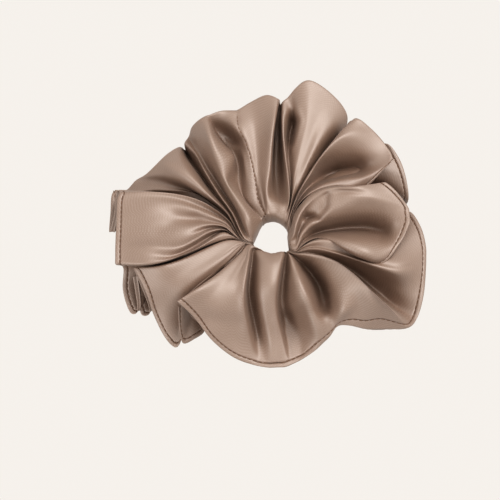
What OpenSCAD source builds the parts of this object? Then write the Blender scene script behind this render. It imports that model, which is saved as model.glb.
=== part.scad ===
// Gathered satin hair scrunchie, oversize, lying as it was put down.
// The casing is one tube of satin, shown here in two halves that the elastic lets apart along X.
// Origin: centre of the elastic ring. +Z is up through the hair opening. Millimetres.

/* [Hair opening] */
// Radius of the hair opening with the elastic relaxed
opening_r = 8.5; // [7.5:0.5:9.5]
// Height of the round wall that the hair bundle meets
opening_len = 10; // [8:1:11]

/* [Elastic] */
// Width of the flat braided elastic
elastic_w = 7; // [5:0.5:7.5]
// Thickness of one layer of elastic
elastic_t = 1.0; // [0.8:0.1:1.1]
// Arc over which the two ends lie on each other, in degrees
lap_arc = 62; // [40:1:70]

/* [Casing] */
// Half height of the gathered neck round the elastic
neck_half = 6.2; // [6:0.1:7]
// Half thickness of the ruffle where it is fullest
puff_half = 5.5; // [4:0.5:6]
// Half thickness of the ruffle at its rim
rim_half = 1.3; // [1:0.1:2]
// How far the ruffle arches up between the neck and the rim
arch = 5; // [0:1:8]
// Gap between the two halves of the casing
split_gap = 0.3; // [0.2:0.1:0.6]

/* [Sewing] */
// Distance from the rim in to the long seam
seam_inset = 2.5; // [2:0.5:3.5]
// Radius of the line of sewing thread
thread_r = 0.4; // [0.3:0.05:0.5]
// Direction of the closing seam, in degrees from +X
closing_az = 106; // [98:1:112]

/* [Hidden] */

satin = [0.66, 0.57, 0.51];
satin_dark = [0.58, 0.49, 0.43];
thread_colour = [0.42, 0.33, 0.28];
elastic_colour = [0.75, 0.70, 0.66];

half_gap = split_gap / 2;
clear = 80;                                  // further than any part of the casing reaches
wall = 0.8;                                  // gathered satin inside the elastic
play = 0.3;                                  // room for the elastic in its channel
channel_in = opening_r + wall;
elastic_in = channel_in + play;
channel_out = elastic_in + 2 * elastic_t + play;
channel_half = elastic_w / 2 + play;
neck_step = 1.6;                             // the neck's rounded inner edge, as a step
neck_skin = 2;                               // gathered satin outside the elastic
neck_out = channel_out + neck_skin;
buried = 1.2;                                // length of the ruffle's inner end inside the neck
ruffle_in = neck_out - buried;
ruffle_half = neck_half - neck_step;         // half thickness where the ruffle leaves the neck
swell = puff_half - (ruffle_half + rim_half) / 2;

// The rim, fold by fold, anticlockwise from the front: direction in degrees, reach from the
// centre, height of the rim. High ones are ridges, low ones are the folds it lies on.
rim = [
    [-90, 57, -16], [-76, 57, -15], [-62, 54, -10], [-48, 52, -2], [-38, 68, -4], [-32, 73, -9],
    [-20, 73, -14], [-8, 70, -6], [3, 64, 4], [12, 63, 14], [22, 60, 15], [31, 66, -14],
    [43, 69, -4], [55, 67, 15], [65, 64, -15], [74, 70, 16], [79, 71, 20], [84, 67, -6],
    [90, 65, 10], [97, 65, 15], [103, 64, 0], [109, 63, -12], [117, 63, 13], [125, 62, -16],
    [133, 61, 8], [141, 62, 9], [150, 66, -15], [158, 71, 4], [165, 73, 9], [180, 71, 10],
    [192, 72, 8], [198, 64, 6], [205, 67, -16], [211, 63, 6], [217, 64, -10], [224, 64, -17],
    [231, 55, 9], [239, 54, -2], [250, 55, -12], [260, 56, -15], [270, 57, -16]
];

steps_round = 84;                            // stations round one half
steps_out = 8;                               // stations from the neck to the rim

// Smooth step between one fold and the next.
function smooth(t) = t * t * (3 - 2 * t);
function fold_before(a, i = 0) = (i >= len(rim) - 2 || a < rim[i + 1][0]) ? i : fold_before(a, i + 1);
function between(a, i, k) =
    let (t = (a - rim[i][0]) / (rim[i + 1][0] - rim[i][0]))
    rim[i][k] + (rim[i + 1][k] - rim[i][k]) * smooth(max(0, min(1, t)));
function reach(a) = between(a, fold_before(a), 1);
function rim_z(a) = between(a, fold_before(a), 2);

// Middle of the ruffle's thickness, s going from 0 at the neck to 1 at the rim.
function out_r(a, s) = ruffle_in + (reach(a) - ruffle_in) * s;
function mid_z(a, s) = rim_z(a) * pow(s, 1.25) + arch * sin(180 * s);
function half_t(s) = rim_half + (ruffle_half - rim_half) * (1 - s) + swell * sin(180 * s);
function on_top(a, s, side) = [
    side * (half_gap + out_r(a, s) * abs(cos(a))),
    out_r(a, s) * sin(a),
    mid_z(a, s) + half_t(s)
];
function below(a, s, side) = on_top(a, s, side) - [0, 0, 2 * half_t(s)];

// Half of the ruffle: side is +1 for the right half and -1 for the left one.
module ruffle(side) {
    n = steps_round;
    m = steps_out;
    start = side > 0 ? -90 : 90;
    row = 2 * (m + 1);
    points = [
        for (i = [0:n], k = [0:row - 1])
            let (a = start + 180 * i / n)
            k <= m ? on_top(a, k / m, side) : below(a, (row - 1 - k) / m, side)
    ];
    skin = [
        for (i = [0:n - 1], k = [0:row - 1])
            let (k2 = (k + 1) % row)
            each [
                [i * row + k, (i + 1) * row + k2, i * row + k2],
                [i * row + k, (i + 1) * row + k, (i + 1) * row + k2]
            ]
    ];
    first = [for (k = [0:row - 1]) k];
    last = [for (k = [row - 1:-1:0]) n * row + k];
    polyhedron(points, concat(skin, [first, last]), convexity = 12);
}

// Everything on one side of the split, clear of the gap.
module beside_split() {
    difference() {
        children();
        translate([-half_gap, -clear, -clear])
            cube([2 * half_gap, 2 * clear, 2 * clear]);
    }
}

// The neck is the inner edge of the casing, gathered tight round the elastic, which lies in its channel.
// The ruffle's inner end is buried in its outer wall.
module neck(side) {
    beside_split()
        rotate([0, 0, side > 0 ? -90 : 90])
            rotate_extrude(angle = 180, $fn = 96)
                difference() {
                    union() {
                        translate([opening_r, -opening_len / 2])
                            square([neck_out - opening_r, opening_len]);
                        translate([opening_r + neck_step, -neck_half])
                            square([neck_out - opening_r - neck_step, 2 * neck_half]);
                    }
                    translate([channel_in, -channel_half])
                        square([channel_out - channel_in, 2 * channel_half]);
                }
}

module ruffle_left() {
    color(satin) ruffle(-1);
}

module ruffle_right() {
    color(satin) ruffle(1);
}

module gathered_neck_left() {
    color(satin_dark) neck(-1);
}

module gathered_neck_right() {
    color(satin_dark) neck(1);
}

// A thin tube through a list of points, with six sides. The path keeps clear of the vertical.
module thread(path, r) {
    n = len(path);
    sides = 6;
    rings = [
        for (i = [0:n - 1])
            let (
                ahead = path[min(i + 1, n - 1)] - path[max(i - 1, 0)],
                dir = ahead / norm(ahead),
                side_raw = cross(dir, [0, 0, 1]),
                side = side_raw / norm(side_raw),
                up = cross(side, dir)
            )
            each [for (k = [0:sides - 1])
                path[i] + r * (cos(60 * k) * side + sin(60 * k) * up)]
    ];
    skin = [
        for (i = [0:n - 2], k = [0:sides - 1])
            let (k2 = (k + 1) % sides)
            each [
                [i * sides + k, (i + 1) * sides + k2, (i + 1) * sides + k],
                [i * sides + k, i * sides + k2, (i + 1) * sides + k2]
            ]
    ];
    first = [for (k = [sides - 1:-1:0]) k];
    last = [for (k = [0:sides - 1]) (n - 1) * sides + k];
    polyhedron(rings, concat(skin, [first, last]), convexity = 8);
}

// The long seam runs on the top face, a little inside the rim.
function seam_s(a) = 1 - seam_inset / (reach(a) - ruffle_in);

seam_step = 2.5;                             // degrees from one station of the seam to the next

module rim_seam(side) {
    start = side > 0 ? -90 : 90;
    stations = [start + seam_step : seam_step : start + 180 - seam_step];
    thread([for (a = stations) on_top(a, seam_s(a), side)], thread_r);
}

module rim_seam_thread_left() {
    color(thread_colour) rim_seam(-1);
}

module rim_seam_thread_right() {
    color(thread_colour) rim_seam(1);
}

// The short seam that closes the strip into a ring crosses the top face, from near the neck to near
// the rim, as shares of the way out.
closing_from = 0.067;
closing_to = 0.88;

module closing_seam_thread() {
    color(thread_colour)
        thread([for (s = [closing_from : 0.067 : closing_to]) on_top(closing_az, s, -1)], thread_r);
}

module elastic_arc(r_in, from, sweep) {
    rotate([0, 0, from])
        rotate_extrude(angle = sweep, $fn = 96)
            translate([r_in, -elastic_w / 2])
                square([elastic_t, elastic_w]);
}

// The left half of the elastic carries the lapped join.
module elastic_left() {
    color(elastic_colour)
        beside_split()
            union() {
                elastic_arc(elastic_in, 90, 180);
                elastic_arc(elastic_in + elastic_t, 180 - lap_arc / 2, lap_arc);
            }
}

module elastic_right() {
    color(elastic_colour)
        beside_split()
            elastic_arc(elastic_in, -90, 180);
}

// Bar of thread through both layers of the lap.
module elastic_tack_thread() {
    bars = 3;
    color(thread_colour)
        for (i = [0:bars - 1])
            rotate([0, 0, 180 + (i - 1) * lap_arc / 4])
                translate([elastic_in + elastic_t / 2, 0, 0])
                    block(elastic_t * 1.5 + play / 2, 0.8, elastic_w * 0.8);
}

// A block that starts at x = 0 and is centred in y and z.
module block(x, y, z) {
    translate([0, -y / 2, -z / 2])
        cube([x, y, z]);
}

ruffle_left();
ruffle_right();
gathered_neck_left();
gathered_neck_right();
rim_seam_thread_left();
rim_seam_thread_right();
closing_seam_thread();
elastic_left();
elastic_right();
elastic_tack_thread();
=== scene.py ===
from math import radians

import bpy
import numpy as np
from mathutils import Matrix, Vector


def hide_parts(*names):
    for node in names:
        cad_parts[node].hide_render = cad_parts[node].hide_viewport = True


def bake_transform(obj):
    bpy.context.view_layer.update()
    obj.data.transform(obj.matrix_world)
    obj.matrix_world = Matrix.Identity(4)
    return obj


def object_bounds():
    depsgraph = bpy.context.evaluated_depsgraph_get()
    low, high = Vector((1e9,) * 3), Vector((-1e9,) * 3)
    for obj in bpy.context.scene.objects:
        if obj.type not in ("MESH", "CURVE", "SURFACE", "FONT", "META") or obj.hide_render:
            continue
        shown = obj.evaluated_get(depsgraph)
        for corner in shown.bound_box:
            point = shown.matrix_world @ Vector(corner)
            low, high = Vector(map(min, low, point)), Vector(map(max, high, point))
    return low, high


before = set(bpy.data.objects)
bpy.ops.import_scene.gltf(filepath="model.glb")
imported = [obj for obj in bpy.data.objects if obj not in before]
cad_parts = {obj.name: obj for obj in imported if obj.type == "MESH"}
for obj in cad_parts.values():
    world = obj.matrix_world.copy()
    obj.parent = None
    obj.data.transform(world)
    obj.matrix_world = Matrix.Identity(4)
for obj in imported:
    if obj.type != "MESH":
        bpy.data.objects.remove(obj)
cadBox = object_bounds()
mm = 0.001

viewTilt = radians(64)     # height of the viewer above the horizon, looking at the front
across = np.array([1, 0, 0])
upward = np.array([0, np.sin(viewTilt), np.cos(viewTilt)])
sight = np.array([0, -np.cos(viewTilt), np.sin(viewTilt)])


# One row per fold of the casing, anticlockwise from the front: direction in degrees, distance of the
# long seam from the rim (negative where it has rolled under), then points from the elastic out to the
# rim. A point is (right, up, height) in millimetres: right and up as the viewer sees them, height above
# the middle of the elastic.
folds = [
    # front panel, right half
    (-92, 2.5, [(-1, -6.9, 5), (-1.5, -12, 6.3), (-2, -20, 5.5), (-2, -28, 1.8), (-0.5, -36, -3.5),
                (1, -44, -9), (1.8, -51, -13), (2.4, -57.1, -16)]),
    (-84, 2.5, [(2, -6.8, 5.2), (2, -12, 6.3), (1, -20, 5.5), (0.5, -28, 1.5), (1.8, -36, -3.5),
                (3.5, -44, -9), (5, -51, -13), (5.8, -57, -15.8)]),
    (-78, 2.5, [(4.5, -6.3, 5.2), (4, -12, 6), (2.8, -20, 4.8), (2, -28, 0.8), (3, -36, -4.5),
                (5, -44, -9.5), (7, -51, -13.5), (8.7, -55.8, -15.5)]),
    (-73, 2.5, [(5.8, -6.3, 4), (5.6, -12, 1.8), (4.6, -20, -0.5), (4, -28, -4), (5.2, -36, -8.5),
                (7, -44, -12.3), (9.5, -50.5, -14.3), (12.5, -54.1, -15)]),
    (-66, 2.5, [(7, -6.8, 4.8), (8.5, -12.5, 5.5), (9.5, -20, 4.5), (11, -27, 1.5), (12, -35, -6),
                (14.5, -44, -12), (16.5, -48, -13), (18.3, -50.2, -13.3)]),
    (-62, 2.5, [(8, -7.5, 4.8), (10.8, -13.8, 6), (13.3, -20.3, 6), (15.8, -27, 3.7), (17.8, -34, -1),
                (20, -41, -6), (21.5, -44.5, -9), (22.3, -46.6, -11)]),
    (-58, 2.5, [(8.5, -7.5, 3.5), (12.8, -11, 2.3), (17.5, -16.5, -0.5), (21.3, -22.5, -3.5), (23.5, -29, -4.5),
                (25, -35, -5), (26, -40.5, -8), (25.8, -43.4, -10)]),
    (-54, 3, [(9, -7.3, 4.2), (14, -10, 4), (19.8, -14.8, 3), (25, -20, 3), (29, -26.5, 2.5),
              (31, -33, 0), (29.3, -38.8, -7)]),
    (-51, 4, [(9.3, -7.1, 5), (15, -8.2, 6.5), (23, -11, 7.5), (30, -15, 8), (35, -21.5, 6.5),
              (37, -28.5, 2), (34.5, -38.5, -6)]),
    (-49, 7, [(9.5, -7, 5.3), (16, -7.3, 7.2), (25, -9.8, 8.8), (33, -14.5, 9), (40, -22.5, 7),
              (44, -29.5, 2.5), (42.5, -40.4, -8)]),
    (-47.5, 5, [(9.6, -6.9, 5.2), (16.5, -7.1, 7.2), (26, -9.5, 9), (35, -15.3, 9), (43.5, -24, 6.5),
                (50, -31, 0.5), (52, -40.4, -9)]),
    # corner and the pocket beside it
    (-46, 2, [(9.7, -6.8, 5), (17, -7.1, 7), (27, -9.8, 9), (36, -16.3, 8.5), (45.5, -25.5, 5.5),
              (54, -33, -1), (60, -39.9, -9)]),
    (-44, 2.5, [(9.8, -6.7, 4.2), (16.5, -6.8, 4.7), (27, -9.8, 3), (37.5, -16, -2.5), (46.5, -23.5, -8),
                (55, -30.5, -11.5), (64.4, -36, -12)]),
    (-42, 2.5, [(10, -6.6, 4.4), (17, -6.2, 5), (28, -8.4, 4.8), (40, -13.5, 1), (50, -19.5, -4),
                (59.5, -25, -8), (67.5, -26.4, -10)]),
    # right panel
    (-40, 2.5, [(10.1, -6.5, 4.8), (14, -5.3, 5.8), (19, -4.7, 6.5), (28, -6.8, 6.3), (38, -10, 5),
                (48, -13.3, 3), (57.5, -16, -0.5), (69, -14.5, -7)]),
    (-38.5, 2.5, [(10.2, -6.4, 4.3), (14, -4.9, 4.8), (19, -3.8, 5.3), (28, -5.5, 5.5), (36, -8.2, 4.7),
                  (46, -10.8, 3), (57.5, -11.5, 0.5), (69.3, -9, -6)]),
    (-37, 2.5, [(10.3, -6.3, 4.9), (14, -3.6, 5.8), (18.5, -1.6, 6.8), (24, -1, 7), (31, -3, 6.5),
                (38, -6.5, 5), (46, -9.8, 3), (56, -8.5, 0.5), (69.3, -4, -5)]),
    (-34.5, 2.5, [(10.3, -6.2, 4.4), (13.5, -3.5, 4.5), (18, -1, 4.5), (25, 0.3, 3.5), (32, -1.5, 3),
                  (42, -7, 1), (54, -2, -1), (67, 5.5, -4)]),
    (-33, 2.5, [(10.3, -6.2, 4), (13.5, -3.3, 3.8), (18, -0.8, 3.5), (31.5, -2.5, 1), (41.5, -6.5, -4),
                (53, 1.5, -6), (62, 12, -5)]),
    (-31.5, 2.5, [(10.4, -6.1, 3.8), (13.8, -3.1, 3.2), (18.5, -0.7, 2), (29.5, -2.5, -2), (38, -6, -6),
                  (45, -4.5, -8), (52, 0, -10)]),
    # full puff over it: lower lobe, valley, main body
    (-29, 2.5, [(10.4, -6.1, 4.6), (14, -2.9, 5.2), (19, -0.4, 6), (25, -0.8, 7), (31, -4.5, 6.5),
                (37, -8, 5), (43, -10.6, 3.5), (48, -12, 2)]),
    (-27, 2.5, [(10.4, -6, 4.8), (14, -2.5, 5.4), (19, 0.2, 6.3), (27, 0.6, 8), (34, -1.8, 8.5),
                (41, -5.5, 7.5), (47, -9.5, 5), (52.5, -8.5, 3.5)]),
    (-24, 2.5, [(10.4, -5.8, 4.5), (14, -2, 5), (20, 1.3, 5.5), (28, 2.3, 6.5), (36, 1.5, 7),
                (44, -1.5, 6.5), (50, -5, 5.5), (55.5, -4, 4.5)]),
    (-20, 2.5, [(10.5, -5.6, 4), (14, -1.2, 4), (20, 2.2, 3.8), (29, 4, 3.5), (38, 4.5, 3),
                (46, 3.5, 3), (53, 1, 4), (58.5, 0.5, 5)]),
    (-16, 2.5, [(10.5, -5.3, 4.3), (14, -0.4, 5), (20, 3.6, 5.2), (29, 6.2, 5.5), (39, 7, 5),
                (48, 6.5, 4.5), (55, 4.5, 5), (60, 4, 6)]),
    (-12, 2.5, [(10.5, -4.6, 4.6), (13.5, 0.8, 6), (19, 5.3, 7), (28, 8.7, 8.5), (40, 10.5, 9),
                (50, 10.5, 8.5), (57, 8.5, 7.5), (61.5, 7.5, 7)]),
    (-7, 2.5, [(10.5, -4, 4.8), (13, 2.5, 6.5), (18, 7, 8.5), (25, 11.3, 11), (36, 14.5, 13),
               (48, 15.5, 12.5), (56, 13, 10), (61, 11, 8.5)]),
    (-3, 2.5, [(10.5, -3.2, 4.5), (12.4, 3, 5), (16, 8, 7), (22, 12.5, 10), (28, 16, 13),
               (38, 18, 15), (51, 16.5, 12.5), (61, 13, 9)]),
    # collar that runs up beside the opening
    (3, 2.5, [(10.2, -1.5, 4.6), (11.6, 3.5, 5.2), (14.2, 10, 7.5), (18.5, 15.5, 10.5), (24.5, 19.5, 13),
              (30, 20.7, 14.2), (39, 21, 15), (55, 21, 13)]),
    (6, 2.5, [(9.6, 1.5, 7.2), (10.6, 6, 8.3), (13, 11.5, 9.5), (17, 16.5, 11), (21.5, 19.8, 12.5),
              (27, 21.8, 14), (36, 22, 15), (51, 24.5, 14)]),
    (9, 2.5, [(8.8, 4, 5.8), (9.3, 8.3, 6.5), (11.5, 13, 7.5), (15, 17.5, 9.5), (19.5, 20.5, 11.5),
              (26, 22.3, 13.5), (36, 22.8, 14.5), (50, 25, 13.5)]),
    # back down and out again as the lower layer on the right
    (14, 2.5, [(8.8, 6, 4.4), (9.8, 10.5, 4), (12.2, 15, 3.5), (21.5, 20.5, 0), (33, 25, -6),
               (45, 23.5, -11), (60, 15, -16)]),
    (17, 2.5, [(8.8, 6.5, 4.2), (9.9, 11, 4), (12.6, 15.5, 3.5), (24, 22.5, 1), (36, 25, -3),
               (48.5, 26, -6), (62.5, 17.3, -10)]),
    (20, 2.5, [(8.8, 7, 4.2), (10, 11.5, 4), (13, 16, 3.6), (25, 24, 2), (37.5, 27, -1),
               (49.5, 30.5, -3), (61.5, 27, -5)]),
    (22, 2.5, [(8.8, 7.3, 4.1), (10, 12, 3.9), (13.2, 16.7, 3.6), (26, 26, 2), (37.5, 30.5, -1),
               (48.5, 35, -2), (58, 37.2, -2)]),
    (24, 2.5, [(8.8, 7.6, 4), (10, 12.3, 3.7), (13.3, 17.2, 3.4), (26, 28, 1), (36, 34, -3),
               (45, 39.5, -4), (52.3, 43.6, 0)]),
    (26, 2.5, [(8.7, 7.8, 4), (10, 12.6, 3.4), (13.4, 17.5, 3), (24.5, 26, -2), (31.5, 30.5, -6),
               (37, 33, -8), (42.5, 35, -8)]),
    # second puff, behind
    (29, 2.5, [(8.6, 8, 4.2), (10.6, 12.8, 4), (14, 17, 4.6), (22.5, 22, 5), (29, 23, 4),
               (35, 22, 3), (41, 22, 1)]),
    (31.5, 2.5, [(8.5, 8.5, 4.8), (10.7, 13.3, 5.5), (14, 17.8, 6.5), (18, 21.3, 7), (24, 24.7, 7),
                 (32.5, 26.5, 6), (41.5, 27.5, 5), (50, 30.5, 5)]),
    (34.5, -2.5, [(8.3, 9, 4.3), (10.4, 14, 4.5), (13.5, 19.5, 5), (18, 24.3, 4.5), (25, 28.3, 2),
                 (33.5, 31, 1), (45, 32.5, 4), (54.5, 36, 7)]),
    (37.5, -2.5, [(8.3, 9.5, 5), (10.3, 15, 6), (13.7, 21.5, 7.5), (18.3, 28, 8.5), (25, 34.5, 8.5),
                 (34, 38.5, 8.5), (43, 40, 8.5), (51.5, 42.3, 8)]),
    (41, -2.5, [(8.2, 9.8, 5.5), (10, 15.2, 7.5), (12.8, 21.5, 9), (17.5, 29, 10.5), (22.5, 37, 13),
               (30, 45, 14), (37.5, 48.5, 13.5), (44.8, 50, 11)]),
    (44.5, -2.5, [(8, 10, 5.4), (9.8, 15.5, 7.3), (14, 24.5, 9), (20.5, 35, 11), (27, 43.3, 12),
                 (32.5, 49.7, 13), (37.8, 54.5, 13)]),
    (48, -2.5, [(7.9, 10.2, 4.3), (9.5, 15.6, 5), (13, 22.5, 6), (18, 30, 6), (24, 37, 4.5),
                 (28, 40.5, 1), (32, 43, -4)]),
    # tall panel at the back
    (51, -2.5, [(7.7, 10.4, 5), (9.2, 16, 6.3), (12.7, 25.5, 8), (17.5, 36, 9.5), (23, 45.5, 10.3),
               (29, 52, 9.3), (34.7, 56, 6.5)]),
    (54, -2.5, [(7.5, 10.6, 5.4), (8.9, 17, 7.5), (11.3, 27.5, 8.5), (15.5, 39.5, 10), (19.5, 51.5, 12),
               (23, 59, 13), (27.2, 66, 13)]),
    (57, -2.5, [(7.2, 10.8, 5.2), (8.7, 17, 7), (10.3, 28.5, 8.5), (12.7, 41, 10.5), (15.5, 53, 13),
               (16.3, 63, 15.3), (16.5, 72, 17)]),
    (60, -2.5, [(6.9, 10.8, 4.8), (8.5, 17, 5.8), (8.9, 27.5, 6.8), (8.6, 38, 7.7), (10.4, 46, 9.3),
               (12, 53, 11.2), (11.4, 60, 13.2), (10.7, 68, 15)]),
    (63, -2.5, [(6.5, 10.8, 4.6), (8.2, 17, 5), (8.4, 26, 6), (7.4, 37, 6.5), (8, 46, 5),
               (9.3, 53, 6), (9, 58.5, 9.5), (7.5, 64, 12)]),
    # narrow roll, the gap beside it and the lip that closes the gap towards the opening
    (67, -2.5, [(6, 10.6, 4.6), (7.4, 14.5, 6), (7.8, 19.5, 7.6), (7.3, 27, 8.5), (6, 38, 10),
               (5, 48, 12), (4.8, 56.5, 12.5), (5, 62.3, 12)]),
    (73, -2.5, [(5.2, 10.6, 4.5), (6.3, 14.2, 5.6), (6, 18, 4.5), (5.2, 26, 3), (4, 38, 3),
               (3.6, 50, 4), (4.2, 61, 8)]),
    (80, -2.5, [(3.6, 10.8, 4.5), (4.2, 14, 5.5), (3.6, 17.5, 3.5), (2.6, 24, 1.5), (2.2, 34, 2),
               (2.4, 46, 3.5), (4, 61.8, 8)]),
    (88, -2.5, [(1.2, 10.9, 4.4), (1.3, 16.3, 5), (0.7, 20.5, 3), (0.6, 29, 2.5), (1, 42, 3.5),
               (1.8, 52, 5), (3.8, 62.8, 9)]),
    # back panel, with the closing seam on the fold at 110 degrees
    (96, -2.5, [(-1, 10.6, 4.4), (-1.9, 16, 5.6), (-2.1, 22, 6.8), (-0.6, 31.5, 8.5), (0.4, 44, 11),
               (2, 55, 12.5), (3.3, 63.4, 12)]),
    (102, -2.5, [(-1.8, 10.2, 4.4), (-3.3, 16, 4.8), (-4.6, 25, 6), (-4.5, 36, 7.7), (-3.5, 46.5, 9.6),
                (-2.5, 56, 11.3), (-2, 65.5, 12)]),
    (106, -2.5, [(-2.2, 9.9, 4.4), (-4, 15, 4.6), (-5.8, 24, 5.5), (-6.8, 35, 6.7), (-7.5, 46, 8),
                (-8.5, 55, 9.4), (-9.5, 62.3, 9.5)]),
    (110, -2.5, [(-2.7, 9.5, 4.4), (-4.5, 13.5, 4.3), (-6.3, 18, 4.4), (-7.2, 25, 5.5), (-8.2, 31, 6.5),
                (-10, 38, 7.5), (-12.3, 44, 8.2), (-15, 50, 9.5), (-16, 58.6, 9)]),
    (113, -2.5, [(-3.2, 9.2, 4.3), (-5.3, 13, 4.1), (-8, 18.5, 4.5), (-9.5, 25, 5.5), (-10.5, 32, 6.5),
                (-12, 39, 7), (-14.2, 44.5, 7), (-17.5, 51, 9), (-20.5, 58.4, 9)]),
    (119, -2.5, [(-3.6, 8.8, 4), (-6, 12, 3.8), (-9.5, 17.5, 4.3), (-11.5, 24, 5), (-12.5, 31, 6),
                (-13.5, 38, 6.3), (-15.7, 43, 5.3), (-19.5, 47, 4), (-22, 51.5, 6.5), (-24, 57.8, 9.5)]),
    (122, -2.5, [(-4, 8.4, 3.8), (-7, 12, 3.6), (-12, 18, 3.8), (-13.5, 25, 3.8), (-14, 33, 4),
                (-15.5, 39, 4.5), (-20, 44, 3.6), (-24, 49.5, 5), (-27, 56.7, 9.5)]),
    (125, -2.5, [(-4.4, 8, 3.7), (-8, 12, 3.2), (-13, 18.5, 3.2), (-15.5, 26, 3.2), (-16, 33, 3.2),
                (-18, 39.5, 3.4), (-23, 45, 3.2), (-26.5, 50.5, 5.5), (-28.7, 56, 9.5)]),
    (128, -2.5, [(-7, 9.8, 6.2), (-12, 16.3, 7.2), (-16.5, 21.5, 7.8), (-19.8, 26, 8), (-18.5, 31, 8),
                (-17, 37, 7.5), (-21.5, 42.3, 7.3), (-25.5, 47, 8.5), (-28, 52, 10.5), (-30.3, 55.5, 10)]),
    (132, -2.5, [(-9.2, 7.2, 8), (-13.5, 13.8, 8.7), (-18.5, 21.5, 9.2), (-22, 28, 9.8), (-24, 35, 10.3),
                (-27, 43, 11.3), (-29.3, 49.5, 12), (-32.5, 54.3, 10)]),
    (139, -2.5, [(-11, 4, 6.8), (-15, 12, 6.8), (-20.5, 21.5, 7.3), (-26.5, 33, 7), (-31, 42, 6.5),
                (-36.5, 50.8, 5)]),
    (145, -2.5, [(-12.3, 3, 3.8), (-16, 11.5, 4), (-22.5, 21.5, 4), (-29, 31.5, 4), (-34, 40, 3.5),
                (-38, 47, -1)]),
    # thin fold and the deep gap behind it
    (150, -2.5, [(-11.8, -0.7, 4.4), (-14.6, 4, 4.9), (-17.5, 10.5, 5.4), (-24.4, 20.5, 5.7), (-30.5, 30.5, 5.5),
                (-35, 38.5, 4), (-39.8, 43.5, 2)]),
    (155, -2.5, [(-12.4, -0.8, 4), (-15.6, 4, 3.6), (-18.9, 10.5, 3.6), (-25.5, 19, 3), (-32, 28, 1.5),
                (-36.5, 34, -1), (-39.8, 40.5, -6)]),
    (158, -2.5, [(-12.6, -0.8, 4.3), (-16, 4, 4.3), (-19.5, 11, 4.7), (-28.5, 21.5, 5), (-35, 31, 5),
                (-39.5, 37.3, 3), (-41.8, 42, -1)]),
    # upper left panel
    (161, -2.5, [(-12.8, -0.9, 4.5), (-16.3, 4.2, 4.9), (-20, 11, 5.5), (-29, 20, 7), (-37, 29, 8),
                (-43, 35, 7), (-47.5, 38.3, 4)]),
    (164.5, -2.5, [(-13, -1, 4.3), (-16.6, 4.3, 4.3), (-21.5, 11.5, 4), (-32.5, 19.8, 5), (-42.5, 26, 5.5),
                  (-50.5, 29, 3), (-57.5, 29, -1)]),
    (166, -2.5, [(-13, -1, 4.1), (-16.8, 4.3, 3.6), (-22, 11.5, 2.8), (-33.2, 20, 2.5), (-44, 24, 2.5),
                 (-53.5, 26.3, 0), (-62, 26.6, -4)]),
    (167, -2.5, [(-13, -1, 4.1), (-17, 4.3, 3.6), (-22.5, 11.5, 3), (-34, 20, 3), (-46, 21.7, 2),
                (-57, 22.3, -1), (-66.5, 22, -7)]),
    # two layers folded away under the left panel
    (169, 2.5, [(-13, -1, 3.9), (-17, 4, 3), (-22.5, 10, 2.3), (-34, 17.3, 2), (-47, 19.5, 0),
                (-60, 20.5, -2), (-72, 21.4, -4)]),
    (170.5, 2.5, [(-13, -1.1, 3.6), (-17, 3.6, 1.5), (-22, 8, 0), (-34, 12, -3), (-47, 12, -4),
                  (-60, 12, -5), (-73, 11.5, -5)]),
    (172, 2.5, [(-13.1, -1.1, 3.6), (-17, 3, 1.2), (-21.5, 6.5, 0), (-34, 7, -3.5), (-47, 5, -5),
                (-60, 4, -6), (-73.3, 2.6, -6)]),
    (173.5, 2.5, [(-13.1, -1.1, 3.8), (-17, 3.4, 2.6), (-21.5, 7.5, 2), (-34, 11, 1), (-47, 12, 1),
                  (-60, 12, 0.5), (-71, 11.5, 0)]),
    (175, 2.5, [(-13.2, -1.2, 4), (-17, 3.8, 3.6), (-21, 8.5, 3.8), (-34, 15.5, 4.3), (-47, 19, 5),
                (-60, 20.7, 5.5), (-70, 21, 5)]),
    # left panel
    (177, 2.5, [(-13.2, -1.2, 4.6), (-16.2, 2.6, 5.5), (-19, 7.5, 6.5), (-24, 12, 7.6), (-32, 17, 8.6),
                (-42, 19.8, 9.6), (-55, 20.8, 10), (-68, 20.6, 9)]),
    (179, 2.5, [(-13.3, -1.2, 4.2), (-16.5, 2.4, 4.6), (-19.8, 7, 5.2), (-25, 10.7, 5.8), (-33, 14.6, 6.9),
                (-42, 17.8, 8.7), (-54, 19.3, 9.8), (-69, 18, 9)]),
    (181, 2.5, [(-13.4, -1.3, 4.7), (-16.8, 2.1, 5.5), (-20.5, 6.5, 6.5), (-27, 9.7, 7.7), (-35, 12.8, 8.9),
                (-45, 15.2, 9.7), (-55, 15.9, 10), (-69.2, 13.5, 9)]),
    (184, 2.5, [(-13.5, -1.3, 4.7), (-17, 1.8, 5.4), (-21.3, 5.8, 6), (-29, 7.7, 6.6), (-38, 9, 7.5),
                (-47, 10.5, 9), (-56, 10.3, 10), (-69.1, 8, 9.5)]),
    (187, 2.5, [(-13.5, -1.3, 4.8), (-17.2, 1.5, 5.7), (-21.5, 5, 6.9), (-28, 5.8, 7.6), (-36, 4.6, 8),
                (-46, 5.2, 9), (-56, 4.5, 10), (-69.1, 2.5, 9.5)]),
    (188.5, 2.5, [(-13.5, -1.4, 4.5), (-17.3, 1.3, 4.8), (-21.5, 4.3, 5.2), (-28, 4.3, 5.6), (-33.5, 2, 6.2),
                  (-40, -1, 7.8), (-52, -1, 9.6), (-69.1, 0, 9.5)]),
    (190, 2.5, [(-13.6, -1.4, 4.9), (-17.4, 1.1, 5.8), (-21.5, 3.8, 7), (-28, 2.8, 8), (-34.5, -1, 9),
                (-42, -4.5, 9.6), (-54, -4, 10.2), (-69.1, -2.5, 9.5)]),
    (192, 2.5, [(-13.6, -1.5, 4.2), (-17.5, 0.9, 4.2), (-21.5, 3, 4), (-26, 1.5, 4), (-31, -1.5, 4.6),
                (-37, -5, 6), (-45, -8, 7.4), (-56, -7, 9.2), (-69.1, -6, 9)]),
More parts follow.
